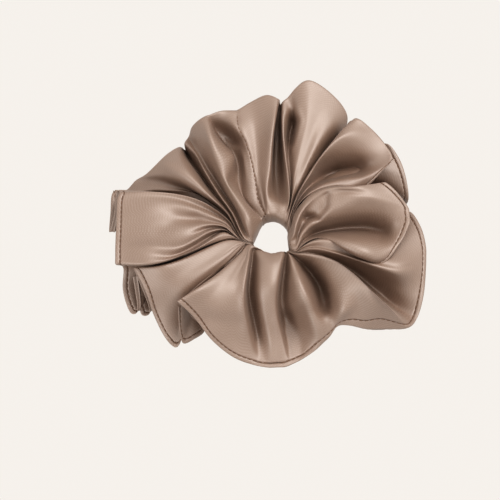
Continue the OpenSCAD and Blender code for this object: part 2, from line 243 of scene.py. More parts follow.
    (194, 2.5, [(-13.7, -1.5, 4.8), (-17.6, 0.8, 5.6), (-21.5, 2.4, 6.7), (-26, 0, 7.2), (-30.5, -3, 7.5),
                (-36, -6, 7.7), (-45, -9.3, 8.1), (-56, -10, 8.6), (-69, -9, 8.5)]),
    (196, 2.5, [(-13.7, -1.5, 4.8), (-17.5, 0.3, 5.2), (-22, -0.3, 5.8), (-27, -2.2, 6.2), (-33, -4.9, 6.8),
                (-39, -7.3, 7.2), (-47, -10.3, 7.6), (-56, -11.8, 7.8), (-69, -11.5, 8)]),
    # small folds tucked under its corner
    (199, 2.5, [(-13.7, -1.7, 4.2), (-17.5, -0.8, 4), (-22.5, -1.8, 3.8), (-29.5, -4, 3.5), (-38.5, -8.5, 3),
                (-50.5, -12, 0.5), (-66.3, -13.5, -4)]),
    (201, 2.5, [(-13.6, -1.7, 3.8), (-17.5, -1, 2.5), (-22.5, -2.3, 1), (-31, -6, -2), (-41, -12, -5),
                (-54, -18, -8), (-66.8, -22.5, -10)]),
    (202, 2.5, [(-13.6, -1.7, 3.8), (-17.5, -1.1, 2.4), (-22.5, -2.5, 0.8), (-31, -7, -3), (-41, -14, -7),
                (-54, -22.5, -11), (-65.2, -29.6, -13.5)]),
    (203, 2.5, [(-13.6, -1.7, 3.7), (-17.5, -1.3, 2.3), (-22.5, -2.8, 0.5), (-31, -8, -4), (-41, -16, -8),
                (-53, -25, -12.5), (-63, -33.8, -15)]),
    (204, 2.5, [(-13.6, -1.8, 3.8), (-17.5, -1.3, 2.4), (-22.5, -2.9, 0.8), (-31, -8, -3.5), (-41.5, -15.5, -7),
                (-53, -24, -10.5), (-60.6, -33.5, -14)]),
    (205, 2.5, [(-13.5, -1.8, 3.9), (-17.4, -1.4, 2.8), (-22.5, -3, 2), (-31.5, -7, 0), (-42, -11.5, -1.5),
                (-53, -15, -2), (-61.8, -17, -2)]),
    (206.5, 2.5, [(-13.5, -1.8, 3.9), (-17.3, -1.4, 2.7), (-22.3, -3.1, 1.4), (-31, -8.5, -2), (-41, -15, -5),
                  (-51, -22, -8.5), (-59.5, -30, -12.5)]),
    (207.5, 2.5, [(-13.4, -1.8, 3.9), (-17.2, -1.5, 2.6), (-22, -3.2, 1), (-30, -9, -3), (-39.5, -17, -7),
                  (-49, -25, -11.5), (-58.2, -34.6, -15)]),
    (208.5, 2.5, [(-13.4, -1.8, 4.2), (-17.2, -1.5, 4), (-22, -2.8, 4), (-30, -7.5, 2.5), (-39.5, -14.5, -1),
                  (-48.5, -22, -7), (-55, -34, -14)]),
    # lower left panel
    (210, 2.5, [(-13.2, -1.8, 4.7), (-17, -0.9, 5.6), (-21.5, -1.3, 6.5), (-30, -4.7, 7.2), (-40.5, -9.4, 7.3),
                (-50.5, -12.3, 7), (-61, -13.2, 6)]),
    (214, 2.5, [(-12.8, -2.1, 4.7), (-16.5, -2.5, 5.8), (-21, -5, 6.4), (-30, -11, 6.6), (-40, -16, 5.5),
                (-49, -20.5, 3), (-56, -23.5, 0)]),
    (218, 2.5, [(-12.3, -2.4, 4.6), (-15.8, -4, 5.5), (-20, -7.5, 6), (-29, -14.3, 6), (-38.5, -22.3, 3),
                (-47, -29, -3), (-52.5, -34.5, -9)]),
    (221, 2.5, [(-11.8, -2.7, 4.2), (-15, -5.5, 4.6), (-19, -9.5, 4.8), (-27, -16.5, 4), (-36, -25.5, 0),
                (-42.5, -35.5, -8), (-46.8, -45.5, -15)]),
    (222.5, 2.5, [(-11.6, -2.8, 4), (-14.9, -5.9, 4.2), (-18.7, -9.9, 4.2), (-26.5, -16.7, 3.3), (-35, -25.2, -0.7),
                  (-40, -36, -8.5), (-42.8, -48.7, -16)]),
    (224, 2.5, [(-11.5, -2.8, 3.9), (-14.8, -6, 4), (-18.5, -10, 3.8), (-26, -16.6, 3), (-34, -24, 0),
                (-38.5, -33.5, -6), (-40.3, -44.5, -13)]),
    (225.5, 2.5, [(-11.2, -2.8, 4), (-14.5, -6.1, 4.3), (-18.2, -9.8, 4.6), (-26, -15.5, 5), (-34, -21.8, 4),
                  (-39, -26.6, 3), (-41.5, -30.5, 1)]),
    (227, 2.5, [(-11.1, -2.9, 3.8), (-14.3, -6.4, 3.9), (-18, -10.4, 3.8), (-25.3, -16.5, 3), (-32, -25, 0),
                (-36.5, -35.5, -6), (-39.5, -46.8, -13)]),
    (227.7, 2.5, [(-11, -3, 3.8), (-14.2, -6.5, 3.8), (-17.9, -10.6, 3.6), (-25.1, -16.8, 2.5), (-31.2, -25.4, -1.5),
                  (-34.3, -35, -6.5), (-35, -44.8, -12.5)]),
    (228.5, 2.5, [(-11, -3, 3.8), (-14.2, -6.6, 3.8), (-17.8, -10.7, 3.6), (-25, -17, 2.3), (-30.5, -25, -2),
                  (-32, -33.5, -7), (-30.3, -41.2, -12)]),
    (229.5, 2.5, [(-10.8, -3, 4), (-14.1, -6.6, 4.3), (-18, -10.8, 4.4), (-24.8, -16.8, 3.5), (-31, -23.5, 0.5),
                  (-34.5, -29, -2.5), (-36.5, -34, -5)]),
    # front panel, left half
    (231, 2.5, [(-10.3, -3, 4.8), (-14, -6.7, 6), (-18.5, -10.8, 7), (-24.5, -16, 8.3), (-31, -20.8, 9),
                (-37, -24.7, 9), (-41.5, -27.5, 8)]),
    (235, 2.5, [(-10, -3.2, 5.2), (-12.5, -8, 6.8), (-16.5, -13.5, 7.6), (-21.5, -19.5, 8), (-27.5, -26, 6.5),
                (-31, -30.5, 4.5), (-34, -35, 2)]),
    (239, 2.5, [(-9.7, -3.4, 5.4), (-11.5, -9, 7.2), (-14.3, -15, 7.6), (-18, -22.5, 7), (-22, -31.5, 3),
                (-24.5, -38.5, -1.5), (-26.5, -45, -6)]),
    (243, 2.5, [(-9.3, -3.8, 5.6), (-11.5, -10, 7.5), (-13.2, -16, 7.8), (-14.8, -23, 6.6), (-15.5, -30, 3),
                (-15.7, -38, -2.5), (-16, -46, -8.5), (-16.5, -53, -12.5)]),
    (245, 2.5, [(-8.8, -4.3, 5.4), (-10.3, -10, 7.3), (-11.3, -16, 7.6), (-12.2, -23, 6.4), (-12.2, -30, 2.8),
                (-11, -38, -3), (-9.4, -46, -9.5), (-8, -52, -13.5), (-7.5, -56.3, -15.5)]),
    (247, 2.5, [(-7.9, -5, 4), (-9, -10, 2.5), (-9.9, -17, 1), (-10.6, -24, -1.5), (-9.6, -31, -5.3),
                (-7.6, -40, -10.5), (-5.9, -48, -14), (-4, -57, -16)]),
    (252, 2.5, [(-6.5, -5.3, 4.6), (-6.6, -10, 5.4), (-7, -17, 5.2), (-6.8, -24, 3.2), (-5, -32, -1),
                (-2.8, -41, -7), (-1.2, -49, -12), (-1.2, -57.3, -16)]),
]

# Where the folds bunch along the elastic: direction of a fold, direction at which it meets the elastic.
bunching = [(-92, -92), (-78, -76), (-66, -63), (-58, -55), (-51, -51.5), (-44, -48), (-37, -44), (-20, -40),
            (-3, -35), (3, -31), (6, -20), (9, 0), (14, 14), (31.5, 24), (48, 40), (67, 56), (80, 72),
            (96, 92), (110, 109), (125, 121), (128, 135), (132, 160), (139, 190), (145, 200), (155, 203),
            (177, 206), (196, 208.5), (210, 211), (221, 217), (231, 223), (243, 236), (247, 244), (252, 250),
            (268, 268)]

# Hollows and small ridges pressed into the folds, towards or away from the viewer: the folds that they lie on,
# half width and height in millimetres, and a line of (right, up) points.
strokes = [
    (-12, 9, 1.5, -4, [(15.5, 9.2), (18, 9.4), (20.3, 9)]),
    (-12, 9, 1.3, -1.3, [(22.3, 11), (23.8, 14), (24.2, 19)]),
    (-12, 9, 1.5, 0.7, [(15, 6.8), (20, 7), (24.5, 11), (26.3, 15), (26.4, 20)]),
    (31.5, 44.5, 4.5, -4, [(24, 29), (30, 31.5), (38, 32)]),
    (31.5, 44.5, 2.5, 1.5, [(24, 25), (32, 26.5), (42, 26.5)]),
    (-64, -51, 3.2, -4, [(15.5, -12.5), (19.5, -18), (21.7, -23), (22.8, -30)]),
    (-80, -62, 3.2, -3, [(6.5, -36), (8.3, -44), (10, -50)]),
    (-73, -60, 3, 1.2, [(9.5, -19), (11, -25), (12, -29)]),
    (110, 130, 2.8, -2.5, [(-25, 50.5), (-21, 47), (-17, 45)]),
    (54, 66, 1.8, -2.5, [(10.3, 53.5), (9, 49), (8.3, 44)]),
    (54, 66, 1.3, 0.9, [(5.5, 56), (8, 60), (11.5, 59), (13.3, 54), (11.8, 47), (9, 41)]),
    (177, 191, 3, -1.4, [(-48, 4.5), (-42, 8), (-34, 8.7)]),
    (153.5, 165, 3, 1.5, [(-48, 34), (-40, 28.5), (-31, 21)]),
    (153.5, 165, 2.6, -1.5, [(-38, 38), (-33, 31), (-27, 23)]),
    (-44, -34.5, 0.8, -0.5, [(50, -12), (56, -13), (62, -12.7)]),
    (-30, -12, 4, -5.5, [(20, 1.5), (32, 4), (42, 5), (49, 2.5)]),
    (235, 246, 4, -0.9, [(-28, -36), (-20, -37), (-15, -38)]),
]


casingSet = {
    "columns": 900,             # stations round the strip
    "topRows": 44,              # from the opening to the long seam
    "underRows": 28,
    "neckRadius": 8.2 * mm,     # where the satin turns over the elastic
    "rimGap": 1.1 * mm,         # between the two faces of the tube at the rim
    "midGap": 2.4 * mm,         # and half way out
    "ditchDepth": 0.4 * mm,     # of the long seam
    "pleats": 104,              # gathers round the elastic
    "pleatTop": 0.3 * mm,       # their height on the top face
    "pleatUnder": 7.5 * mm,     # and on the underside, where they are free
    "creases": 0.06 * mm,       # height of the soft creases across the panels
    "relief": 0.85,             # how much the folds are drawn out towards the viewer
    "rest": 2.2 * mm,           # least height of the top face above the table
    "reliefWidth": 24,          # stations over which the level between them is taken
    "tubeAtNeck": 9.4 * mm,     # greatest thickness of the tube beside the elastic
    "closingFold": 110,         # direction of the fold that carries the closing seam
    "closingDitch": (0.55 * mm, 0.55 * mm),     # depth and width of its ditch
    "closingDip": (0.35 * mm, 2.2 * mm),        # and of the soft dip round it
    "closingPucker": 6 * mm,    # between the places where it is drawn in most
    "besideSeam": [0.02, 0.15, 0.45, 0.8, 1.2, 1.6, 2, 2.4, 2.8, 3.3, 3.9, 4.7, 5.6, 6.6],    # rows, in mm from it
}

# The elastic is not quite round: (direction, change of radius in mm, half width of the change in degrees).
ringBumps = [(-48, 2.2, 15), (0, -1.3, 25), (85, 0.9, 30), (155, -1.5, 28), (212, 1.2, 18), (270, 0.6, 22)]


def smoothStep(x, low, high):
    # 0 below low, 1 above high, t^2 (3 - 2 t) between
    t = np.clip((x - low) / (high - low), 0, 1)
    return t * t * (3 - 2 * t)


def ringRadius(degrees):
    # radius of the satin's inner wall: a constant plus a bell curve for each bump
    radius = np.full(np.shape(degrees), casingSet["neckRadius"])
    for middle, change, width in ringBumps:
        away = (np.asarray(degrees) - middle + 180) % 360 - 180
        radius = radius + change * mm * np.exp(-(away / width) ** 2)
    return radius


def unit(vectors):
    return vectors / (np.linalg.norm(vectors, axis=-1, keepdims=True) + 1e-12)


def cubic(t, a, b, slopeA, slopeB):
    # Hermite cubic from a to b
    start, end = 2*t**3 - 3*t**2 + 1, 3*t**2 - 2*t**3
    return start * a + (t**3 - 2*t**2 + t) * slopeA + end * b + (t**3 - t**2) * slopeB


def spreadAlong(points, shares):
    # Points at given shares of the length of a smooth curve. Between two knots it is a cubic; the slope at
    # a knot is the mean of its two chords, each weighted by the square root of the other one's length.
    gap = np.sqrt(np.linalg.norm(np.diff(points, axis=0), axis=1))[:, None]
    slope = np.diff(points, axis=0) / gap
    inner = (slope[:-1] * gap[1:] + slope[1:] * gap[:-1]) / (gap[:-1] + gap[1:])
    tangent = np.vstack([slope[:1], inner, slope[-1:]])
    t = np.linspace(0, 1, 24, endpoint=False)[None, :, None]
    fine = cubic(t, points[:-1, None], points[1:, None],
                 (tangent[:-1] * gap)[:, None], (tangent[1:] * gap)[:, None]).reshape(-1, 3)
    fine = np.vstack([fine, points[-1:]])
    run = np.concatenate([[0], np.cumsum(np.linalg.norm(np.diff(fine, axis=0), axis=1))])
    return np.stack([np.interp(shares, run / run[-1], fine[:, k]) for k in range(3)], axis=1)


def spreadRound(rows, perFold):
    # The same cubic from fold to fold, closed round the ring; perFold is the number of stations to each fold.
    after = np.roll(rows, -1, axis=0)
    gap = np.sqrt(np.linalg.norm(after - rows, axis=2))[..., None] + 1e-6
    slope = (after - rows) / gap
    before, gapBefore = np.roll(slope, 1, axis=0), np.roll(gap, 1, axis=0)
    tangent = (before * gap + slope * gapBefore) / (gap + gapBefore)
    which = np.repeat(np.arange(len(rows)), perFold)
    t = np.concatenate([np.arange(n) / n for n in perFold])[:, None, None]
    return cubic(t, rows[which], after[which], (tangent * gap)[which], (np.roll(tangent, -1, axis=0) * gap)[which])


def gridNormals(grid):
    # cross product of the directions across and round the strip, up near the elastic
    along = np.roll(grid, -1, axis=0) - np.roll(grid, 1, axis=0)
    return unit(np.cross(np.gradient(grid, axis=1), along))


def eased(values, passes):
    # each value moved half way to the mean of its two neighbours round the ring, over and over
    for _ in range(passes):
        values = 0.5 * values + 0.25 * (np.roll(values, 1, axis=0) + np.roll(values, -1, axis=0))
    return values


def topFace(s):
    # The smooth top face from the elastic to the rim, and the seam's distance from the rim at each station.
    neckAt = dict(zip([f[0] for f in folds], np.interp([f[0] for f in folds], *zip(*bunching))))
    shares = np.linspace(0, 1, 90)
    rows = []
    for degrees, inset, points in folds:
        p = np.array(points, float) * mm
        p[:, 1] = (p[:, 1] - p[:, 2] * np.cos(viewTilt)) / np.sin(viewTilt)
        turn = radians(neckAt[degrees])
        way = np.array([np.cos(turn), np.sin(turn), 0])
        ring = ringRadius(neckAt[degrees])
        crest = np.clip(p[0, 2] * 0.5 + 2.2 * mm, 3.7 * mm, 6 * mm)
        neck = [way * ring, way * (ring + 0.3 * mm) + [0, 0, 0.6 * crest], way * (ring + mm) + [0, 0, 0.92 * crest]]
        rows.append(spreadAlong(np.vstack([neck, p]), shares))
    rows = np.stack(rows)
    step = np.linalg.norm(np.roll(rows[:, -1], -1, axis=0) - rows[:, -1], axis=1)
    perFold = np.maximum(4, np.round(step / step.sum() * s["columns"])).astype(int)
    top = eased(spreadRound(rows, perFold), 2)
    inset = eased(np.repeat([f[1] * mm for f in folds], perFold), 12)

    # the relief between neighbouring folds is drawn out along the line of sight
    depth = top @ sight
    wave = np.fft.rfftfreq(len(top))[:, None] * s["reliefWidth"]
    level = np.fft.irfft(np.fft.rfft(depth, axis=0) * np.exp(-2 * (np.pi * wave) ** 2), n=len(top), axis=0)
    drawn = s["relief"] * smoothStep(shares, 0.05, 0.2) * (1 - 0.7 * smoothStep(shares, 0.75, 1))
    top = top + ((depth - level) * drawn)[..., None] * sight

    # hollows and ridges: a bell curve of the distance from each stroke, as the viewer sees it
    seen = np.stack([top[..., 0], top @ upward], axis=2) / mm
    foldStart = np.concatenate([[0], np.cumsum(perFold)])
    foldAt = np.interp(np.arange(len(top)), foldStart, [f[0] for f in folds] + [folds[0][0] + 360])
    for low, high, halfWidth, height, line in strokes:
        inside = smoothStep(foldAt, low - 1, low + 1) * (1 - smoothStep(foldAt, high - 1, high + 1))
        away = np.full(seen.shape[:2], np.inf)
        for a, b in zip(np.array(line[:-1], float), np.array(line[1:], float)):
            t = np.clip((seen - a) @ (b - a) / ((b - a) @ (b - a)), 0, 1)[..., None]
            away = np.minimum(away, np.linalg.norm(seen - a - t * (b - a), axis=2))
        top = top + (inside[:, None] * height * mm * np.exp(-(away / halfWidth) ** 2))[..., None] * sight

    # low folds lie on the table: what would be under it is brought up along the line of sight
    sunk = np.maximum(0, cadBox[0][2] + s["rest"] - top[..., 2])
    top = top + (sunk / sight[2])[..., None] * sight
    return top, inset, perFold


def casingGrid(s):
    # The whole tube as one strip, from one side of the long seam round the rim, under, up through the opening,
    # out over the top and down into the seam again. Rows run round the ring and are closed.
    top, inset, perFold = topFace(s)
    count = len(top)
    last = top.shape[1] - 1
    normal = gridNormals(top)
    length = np.linalg.norm(np.diff(top, axis=1), axis=2).sum(axis=1)
    station = np.arange(count) / count

    # gathers: round ridges with sharp valleys between, uneven in width and height, fading outwards
    phase = s["pleats"] * station + 0.35 * np.sin(2 * np.pi * 13 * station) + 0.3 * np.sin(2 * np.pi * 31 * station)
    ridge = np.abs(np.sin(np.pi * phase)) - 0.6
    uneven = 0.75 + 0.35 * np.sin(2 * np.pi * 7 * station + 1) * np.sin(2 * np.pi * 17 * station)
    share = np.linspace(0, 1, last + 1)[None, :]
    reach = 0.16 + 0.1 * np.sin(2 * np.pi * 23 * station)[:, None]
    pleats = (ridge * uneven)[:, None] * smoothStep(share, 0, 0.03) * (1 - smoothStep(share, 0.03, 2 * reach))
    # soft creases that run out from the elastic and wander a little
    wander = 2 * np.pi * station[:, None]
    creases = np.sin(46 * wander + 5 * share) + np.sin(71 * wander - 4 * share + 2)
    creases = creases * np.sin(9 * wander + 3 * share)
    creases = creases * smoothStep(share, 0.05, 0.25) * (1 - smoothStep(share, 0.6, 0.95))
    shaped = top + normal * (pleats * s["pleatTop"] + creases * s["creases"])[..., None]

    # closing seam: a narrow ditch in a soft dip down its own fold, drawn in at intervals
    seamColumn = perFold[:[f[0] for f in folds].index(s["closingFold"])].sum()
    near = slice(seamColumn - 60, seamColumn + 60)
    away = np.linalg.norm(top[near] - top[seamColumn][None], axis=2)
    pucker = 0.75 + 0.25 * np.sin(2 * np.pi * share * length[seamColumn] / s["closingPucker"])
    for deep, wide in (s["closingDitch"], s["closingDip"]):
        shaped[near] -= normal[near] * (deep * pucker * np.exp(-(away / wide) ** 2))[..., None]

    # the underside: the top face let down by the thickness of the tube, straight down near the elastic and
    # straight away from the viewer further out, with free gathers of its own
    turn = smoothStep(share, 0.08, 0.3)[..., None]
    drop = unit(np.array([0, 0, 1.0]) * (1 - turn) + sight * turn)
    thick = s["midGap"] + (s["rimGap"] - s["midGap"]) * smoothStep(share, 0.35, 1)
    thick = np.clip(2 * top[..., 2], 0, s["tubeAtNeck"]) * (1 - turn[..., 0]) + thick * turn[..., 0]
    free = smoothStep(share, 0.1, 0.24) * (1 - smoothStep(share, 0.5, 0.9))
    gathered = ((ridge + 0.6) * uneven)[:, None] * free * s["pleatUnder"]
    under = (top - drop * (thick + gathered)[..., None])[:, ::-1]
    under[..., 2] = np.maximum(under[..., 2], cadBox[0][2] + 0.3 * mm)

    # rim: half a turn from the top face to the underside
    centre, arm = (shaped[:, -1] + under[:, 0]) / 2, (shaped[:, -1] - under[:, 0]) / 2
    out = unit(top[:, -1] - top[:, -4]) * np.linalg.norm(arm, axis=1, keepdims=True)
    turns = np.radians([30, 60, 90, 120, 150])
    roll = np.stack([centre + arm * np.cos(a) + out * np.sin(a) for a in turns], axis=1)

    # the closed outline of each section, measured from the opening outwards, is cut at the long seam and laid
    # out again with close rows beside the seam
    loop = np.concatenate([shaped, roll, under], axis=1)
    run = np.cumsum(np.linalg.norm(np.diff(loop, axis=1), axis=2), axis=1)
    run = np.concatenate([np.zeros((count, 1)), run], axis=1)
    around = run[:, -1]
    rimAt = run[:, last + 3]
    beside = np.array(s["besideSeam"]) * mm
    seamAt = (rimAt - inset)[:, None]
    first = seamAt + beside
    second = first[:, -1:] + (around[:, None] - first[:, -1:]) * np.linspace(0, 1, s["underRows"])[None, 1:]
    fourth = seamAt - beside[::-1]
    third = fourth[:, :1] * np.linspace(0, 1, s["topRows"])[None, 1:-1]
    wanted = np.concatenate([first, second, third, fourth], axis=1)
    offset = np.arange(count)[:, None] * 2 * around.max()
    flat = [np.interp((wanted + offset).ravel(), (run + offset).ravel(), loop[..., k].ravel()) for k in range(3)]
    grid = np.stack(flat, axis=1).reshape(count, -1, 3)

    # the long seam is a ditch, deepest in the rows next to the cut
    outward = gridNormals(grid)
    depth = s["ditchDepth"] * np.array([1, 0.75, 0.12])
    outward[:, 0], outward[:, -1] = outward[:, 3], outward[:, -4]
    for k in range(3):
        grid[:, k] -= outward[:, 3] * depth[k]
        grid[:, -1 - k] -= outward[:, -4] * depth[k]
    seamUp = unit(outward[:, 3] + outward[:, -4])
    seamLine = (grid[:, 1] + grid[:, -2]) / 2
    return grid, seamLine, seamUp, (shaped[seamColumn], normal[seamColumn])


def addPiece(name, points, faces):
    mesh = bpy.data.meshes.new(name)
    mesh.from_pydata(points.reshape(-1, 3), [], faces)
    mesh.shade_smooth()
    piece = bpy.data.objects.new(name, mesh)
    bpy.context.scene.collection.objects.link(piece)
    return piece


def runAlong(line):
    # distance from the first point of a line to each of its points
    return np.concatenate([[0], np.cumsum(np.linalg.norm(np.diff(line, axis=0), axis=1))])


def alongLine(places, run, line):
    # points of a line at the given distances along it
    return np.stack([np.interp(places, run, line[:, k]) for k in range(3)], axis=1)


def gridMesh(name, grid, uv):
    # Four-sided faces over a grid whose rows run round the ring; uv is one pair for each point.
    n, m = grid.shape[:2]
    i = np.arange(n)[:, None]
    k = np.arange(m - 1)[None, :]
    nextI = (i + 1) % n
    faces = np.stack([i * m + k, i * m + k + 1, nextI * m + k + 1, nextI * m + k], axis=2).reshape(-1, 4)
    piece = addPiece(name, grid, faces)
    corner = uv.reshape(-1, 2)[faces]
    wrap = corner[:, :2, 0].mean(axis=1)[:, None] > corner[:, 2:, 0] + 0.1     # last column meets the first
    corner[:, 2:, 0] += wrap * uv[-1, 0, 0] * (1 + 1 / (n - 1))
    piece.data.uv_layers.new(name="strip").data.foreach_set("uv", corner.reshape(-1))
    return piece


grid, seamLine, seamUp, closing = casingGrid(casingSet)
rimRun = runAlong(seamLine)
acrossRun = np.concatenate([np.zeros((len(grid), 1)),
                            np.cumsum(np.linalg.norm(np.diff(grid, axis=1), axis=2), axis=1)], axis=1)
uv = np.stack([np.broadcast_to(rimRun[:, None], acrossRun.shape), acrossRun], axis=2)
casing = gridMesh("satin_casing", grid, uv)
print("casing", grid.shape, len(casing.data.polygons), "faces, rim", round(rimRun[-1], 3), "m, across",
      np.round([acrossRun[:, -1].min(), acrossRun[:, -1].mean(), acrossRun[:, -1].max()], 4),
      "area", round(sum(p.area for p in casing.data.polygons), 4))
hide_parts("ruffle_left", "ruffle_right", "gathered_neck_left", "gathered_neck_right")


def crosses(piece):
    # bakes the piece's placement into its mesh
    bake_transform(piece)


crosses(casing)


def stitches(name, centres, along, up, half, radius, arch):
    # One mesh of short threads, side by side or in a line: each is a six-sided tube with round ends whose middle
    # stands arch above its ends.
    along = unit(along)
    side = unit(np.cross(up, along))
    up = np.cross(along, side)
    t = np.array([-1, -0.75, 0, 0.75, 1])
    wide = np.array([0.35, 0.85, 1, 0.85, 0.35]) * radius
    turn = np.radians(np.arange(6) * 60)
    middle = centres[:, None] + along[:, None] * (t * half)[None, :, None] \
        + up[:, None] * (arch * (1 - t * t))[None, :, None]
    around = side[:, None] * np.cos(turn)[None, :, None] + up[:, None] * np.sin(turn)[None, :, None]
    points = middle[:, :, None] + around[:, None] * wide[None, :, None, None]
    i, k = np.arange(4)[:, None] * 6, np.arange(6)[None, :]
    tube = np.stack([i + k, i + (k + 1) % 6, i + 6 + (k + 1) % 6, i + 6 + k], axis=2).reshape(-1, 4)
    start = np.arange(len(centres))[:, None, None] * 30
    quads = (tube[None] + start).reshape(-1, 4).tolist()
    cap = np.arange(6)[None]
    ends = np.concatenate([cap[:, ::-1] + start[:, 0], 24 + cap + start[:, 0]]).tolist()
    return addPiece(name, points, quads + ends)


def sewnAlong(name, line, up, run, places, s):
    # a row of stitches along a line, each standing a little above it
    at = alongLine(places, run, line)
    outward = unit(alongLine(places, run, up))
    beyond = alongLine(places + 0.5 * mm, run, line)
    return stitches(name, at + outward * s["lift"], beyond - at, outward, s["half"], s["radius"], s["arch"])


# long seam: one stitch every 2.5 mm, in the ditch
rimStitch = {"pitch": 2.5 * mm, "half": 0.9 * mm, "radius": 0.17 * mm, "arch": 0.12 * mm, "lift": 0.1 * mm}
places = np.arange(rimStitch["pitch"], rimRun[-1] - rimStitch["pitch"], rimStitch["pitch"])
rimStitches = sewnAlong("rim_seam_stitches", seamLine, seamUp, rimRun, places, rimStitch)
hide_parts("rim_seam_thread_left", "rim_seam_thread_right")
crosses(rimStitches)

# closing seam: a slightly finer stitch across the strip
closingStitch = {
    "pitch": 2.2 * mm, "half": 0.8 * mm, "radius": 0.16 * mm, "arch": 0.1 * mm, "lift": 0.12 * mm,
    "first": 0.12, "last": 0.95,        # where it begins and ends, as shares of the way out to the rim
}
acrossLine, acrossUp = closing
downRun = runAlong(acrossLine)
spacing = closingStitch["pitch"] / downRun[-1]
places = np.arange(closingStitch["first"], closingStitch["last"], spacing) * downRun[-1]
closingStitches = sewnAlong("closing_seam_stitches", acrossLine, acrossUp, downRun, places, closingStitch)
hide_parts("closing_seam_thread")
crosses(closingStitches)
print("stitches", len(rimStitches.data.polygons), len(closingStitches.data.polygons), "faces")

# flat braided elastic in one length, lapped on itself at the left
elasticSet = {
    "stations": 760,
    "halfWidth": 3.2 * mm,
    "thick": 1 * mm,
    "clear": 1.1 * mm,          # from the satin's inner wall
    "lap": 62,                  # degrees over which the ends lie on each other
    "ramp": 9,                  # degrees in which the outer end climbs on the inner one
    "braid": 0.05 * mm,         # height of the braid
    "braidPitch": 1.3 * mm,
}


def elasticBand(s):
    # A rounded flat section carried round the ring. Its height above the middle of the section is the thickness
    # times a rounded square; the braid is the product of two slanting cosines.
    begin = 180 - s["lap"] / 2
    degrees = np.linspace(begin, begin + 360 + s["lap"], s["stations"])
    climb = smoothStep(degrees, begin + 360 - s["ramp"], begin + 360)
    way = np.stack([np.cos(np.radians(degrees)), np.sin(np.radians(degrees)), np.zeros_like(degrees)], axis=1)
    turn = np.radians(np.arange(32) * 360 / 32 + 180 / 32)
    flatten = (np.abs(np.cos(turn)) ** 6 + np.abs(np.sin(turn)) ** 6) ** (-1 / 6)
    outward, rise = np.cos(turn) * flatten * s["thick"] / 2, np.sin(turn) * flatten * s["halfWidth"]
    middle = ringRadius(degrees) + s["clear"] + s["thick"] / 2 + climb * s["thick"]
    run = np.concatenate([[0], np.cumsum(np.diff(np.radians(degrees)) * middle[1:])])[:, None]
    wave = 2 * np.pi / s["braidPitch"]
    braid = s["braid"] * np.cos(wave * (run + rise[None])) * np.cos(wave * (run - rise[None])) * np.sign(outward)[None]
    radius = middle[:, None] + outward[None] + braid
    points = way[:, None] * radius[..., None]
    points[..., 2] = rise[None]
    n, m = points.shape[:2]
    i, k = np.arange(n - 1)[:, None] * m, np.arange(m)[None]
    quads = np.stack([i + k, i + m + k, i + m + (k + 1) % m, i + (k + 1) % m], axis=2).reshape(-1, 4).tolist()
    ends = [np.arange(m).tolist(), ((n - 1) * m + np.arange(m)[::-1]).tolist()]
    return addPiece("braided_elastic", points, quads + ends)


elastic = elasticBand(elasticSet)
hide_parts("elastic_left", "elastic_right")
crosses(elastic)

# bar tacks: threads side by side, slanting by turns, three times along the lap
tackSet = {
    "spread": 15.5,             # degrees from one bar to the next
    "barWidth": 10,             # degrees
    "threads": 9,               # in each bar
    "slant": 0.12,
    "lift": 0.05 * mm,
    "half": 2.3 * mm,
    "radius": 0.16 * mm,
    "arch": 0.1 * mm,
}
bar = np.linspace(-tackSet["barWidth"] / 2, tackSet["barWidth"] / 2, tackSet["threads"])
tackAt = (180 + np.array([-1, 0, 1])[:, None] * tackSet["spread"] + bar[None]).ravel()
tackWay = np.stack([np.cos(np.radians(tackAt)), np.sin(np.radians(tackAt)), np.zeros_like(tackAt)], axis=1)
tackOut = ringRadius(tackAt) + elasticSet["clear"] + 2 * elasticSet["thick"] + tackSet["lift"]
byTurns = np.where(np.arange(len(tackAt)) % 2, tackSet["slant"], -tackSet["slant"])
slant = np.cross([0, 0, 1.0], tackWay) * byTurns[:, None]
tack = stitches("elastic_bar_tack", tackWay * tackOut[:, None], slant + [0, 0, 1.0], tackWay,
                tackSet["half"], tackSet["radius"], tackSet["arch"])
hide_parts("elastic_tack_thread")
crosses(tack)
print("elastic", len(elastic.data.polygons), "tack", len(tack.data.polygons), "faces")


# materials
def material(name):
    made = bpy.data.materials.new(name)
    made.use_nodes = True
    return made, made.node_tree.nodes, made.node_tree.links, made.node_tree.nodes["Principled BSDF"]


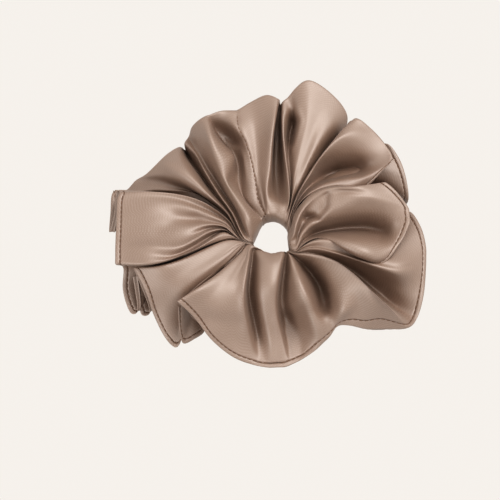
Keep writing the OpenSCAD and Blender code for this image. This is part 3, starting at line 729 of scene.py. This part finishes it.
def satinMaterial():
    # Satin: a warm dark body under a broad pale gloss. The fine slanting grain of the weave comes from two waves
    # on the strip's own coordinates (metres), and the cloth is a little uneven in colour and gloss.
    made, nodes, links, shader = material("satin")
    where = nodes.new("ShaderNodeUVMap")
    where.uv_map = "strip"
    waves = []
    for turn, pitch in ((32, 0.75 * mm), (-58, 1.1 * mm)):
        place = nodes.new("ShaderNodeMapping")
        place.inputs["Rotation"].default_value = (0, 0, radians(turn))
        links.new(where.outputs["UV"], place.inputs["Vector"])
        wave = nodes.new("ShaderNodeTexWave")
        wave.inputs["Scale"].default_value = 0.314 / pitch
        wave.inputs["Distortion"].default_value = 1.8
        wave.inputs["Detail"].default_value = 1
        wave.inputs["Detail Scale"].default_value = 3
        links.new(place.outputs["Vector"], wave.inputs["Vector"])
        waves.append(wave)
    grain = nodes.new("ShaderNodeMath")
    grain.operation = "MULTIPLY"
    links.new(waves[0].outputs["Fac"], grain.inputs[0])
    links.new(waves[1].outputs["Fac"], grain.inputs[1])

    coords = nodes.new("ShaderNodeTexCoord")
    cloud = nodes.new("ShaderNodeTexNoise")
    cloud.inputs["Scale"].default_value = 60
    cloud.inputs["Detail"].default_value = 3
    links.new(coords.outputs["Object"], cloud.inputs["Vector"])
    slub = nodes.new("ShaderNodeTexNoise")      # threads a little thicker here and there
    slub.inputs["Scale"].default_value = 900
    slub.inputs["Detail"].default_value = 2
    links.new(where.outputs["UV"], slub.inputs["Vector"])

    both = nodes.new("ShaderNodeMath")
    both.operation = "MULTIPLY_ADD"
    both.inputs[1].default_value = 0.5
    links.new(cloud.outputs["Fac"], both.inputs[0])
    links.new(grain.outputs["Value"], both.inputs[2])
    tone = nodes.new("ShaderNodeValToRGB")
    tone.color_ramp.elements[0].color = (0.255, 0.172, 0.129, 1)
    tone.color_ramp.elements[1].color = (0.335, 0.251, 0.202, 1)
    tone.color_ramp.elements[0].position = 0.05
    tone.color_ramp.elements[1].position = 1
    links.new(both.outputs["Value"], tone.inputs["Fac"])
    links.new(tone.outputs["Color"], shader.inputs["Base Color"])

    rough = nodes.new("ShaderNodeMapRange")
    rough.inputs["To Min"].default_value = 0.48
    rough.inputs["To Max"].default_value = 0.58
    links.new(slub.outputs["Fac"], rough.inputs["Value"])
    links.new(rough.outputs["Result"], shader.inputs["Roughness"])
    bump = nodes.new("ShaderNodeBump")
    bump.inputs["Strength"].default_value = 0.3
    bump.inputs["Distance"].default_value = 0.05 * mm
    links.new(grain.outputs["Value"], bump.inputs["Height"])
    links.new(bump.outputs["Normal"], shader.inputs["Normal"])
    shader.inputs["IOR"].default_value = 1.75
    shader.inputs["Specular IOR Level"].default_value = 1.0
    shader.inputs["Sheen Weight"].default_value = 0.1
    shader.inputs["Sheen Roughness"].default_value = 0.4
    return made


def twistedThread(name, dark, light, scale):
    # matt thread whose twist shows as fine ribs
    made, nodes, links, shader = material(name)
    coords = nodes.new("ShaderNodeTexCoord")
    rib = nodes.new("ShaderNodeTexWave")
    rib.bands_direction = "DIAGONAL"
    rib.inputs["Scale"].default_value = scale
    rib.inputs["Distortion"].default_value = 1.5
    links.new(coords.outputs["Object"], rib.inputs["Vector"])
    tone = nodes.new("ShaderNodeValToRGB")
    tone.color_ramp.elements[0].color = dark
    tone.color_ramp.elements[1].color = light
    links.new(rib.outputs["Fac"], tone.inputs["Fac"])
    links.new(tone.outputs["Color"], shader.inputs["Base Color"])
    bump = nodes.new("ShaderNodeBump")
    bump.inputs["Strength"].default_value = 0.5
    bump.inputs["Distance"].default_value = 0.05 * mm
    links.new(rib.outputs["Fac"], bump.inputs["Height"])
    links.new(bump.outputs["Normal"], shader.inputs["Normal"])
    shader.inputs["Roughness"].default_value = 0.6
    return made


casing.data.materials.append(satinMaterial())
threadLook = twistedThread("polyester_thread", (0.19, 0.118, 0.083, 1), (0.31, 0.21, 0.155, 1), 900)
for piece in (rimStitches, closingStitches, tack):
    piece.data.materials.append(threadLook)
elasticLook = twistedThread("braided_rubber_elastic", (0.42, 0.36, 0.31, 1), (0.62, 0.56, 0.5, 1), 240)
elastic.data.materials.append(elasticLook)
print("materials done")


# camera, floor and lights
cameraSet = {"distance": 0.9, "frameWidth": 0.225, "aimRight": -9.9 * mm, "aimUp": -5.4 * mm}
cameraData = bpy.data.cameras.new("camera")
cameraData.sensor_width = 36
cameraData.lens = 36 * cameraSet["distance"] / cameraSet["frameWidth"]
camera = bpy.data.objects.new("camera", cameraData)
camera.location = across * cameraSet["aimRight"] + upward * cameraSet["aimUp"] + sight * cameraSet["distance"]
camera.rotation_euler = (radians(90) - viewTilt, 0, 0)
bpy.context.scene.collection.objects.link(camera)
bpy.context.scene.camera = camera

floorMesh = bpy.data.meshes.new("floor")
half, level = 3.0, cadBox[0][2]
floorMesh.from_pydata([(-half, -half, level), (half, -half, level), (half, half, level), (-half, half, level)],
                      [], [(0, 1, 2, 3)])
floor = bpy.data.objects.new("floor", floorMesh)
bpy.context.scene.collection.objects.link(floor)
paper = bpy.data.materials.new("paper")
paper.use_nodes = True
paperShader = paper.node_tree.nodes["Principled BSDF"]
paperShader.inputs["Base Color"].default_value = (0, 0, 0, 1)
paperShader.inputs["Roughness"].default_value = 1
paperShader.inputs["Specular IOR Level"].default_value = 0
paperShader.inputs["Emission Color"].default_value = (1, 0.967, 0.93, 1)
paperShader.inputs["Emission Strength"].default_value = 0.708
floorMesh.materials.append(paper)
floor.visible_diffuse = False      # the pale paper doesn't light the folds from below
floor.visible_glossy = False


def softLight(name, place, size, power, colour):
    # a square area light aimed at the opening
    data = bpy.data.lights.new(name, "AREA")
    data.size = size
    data.energy = power
    data.color = colour
    lamp = bpy.data.objects.new(name, data)
    lamp.location = place
    lamp.rotation_euler = (-Vector(place)).to_track_quat("-Z", "Y").to_euler()
    bpy.context.scene.collection.objects.link(lamp)


softLight("key", (0.42, 0.12, 0.9), 0.8, 6.3, (1, 0.98, 0.96))
softLight("rim", (-0.65, -0.65, 0.36), 0.5, 2.5, (1, 0.98, 0.96))
world = bpy.data.worlds.new("studio")
bpy.context.scene.world = world
world.use_nodes = True
sky = world.node_tree.nodes["Background"]
sky.inputs["Color"].default_value = (1, 0.99, 0.975, 1)
sky.inputs["Strength"].default_value = 0.66
view = bpy.context.scene.view_settings
view.view_transform = "Standard"
view.look = "Very High Contrast"
view.exposure = -0.36
print("camera, floor and lights done")
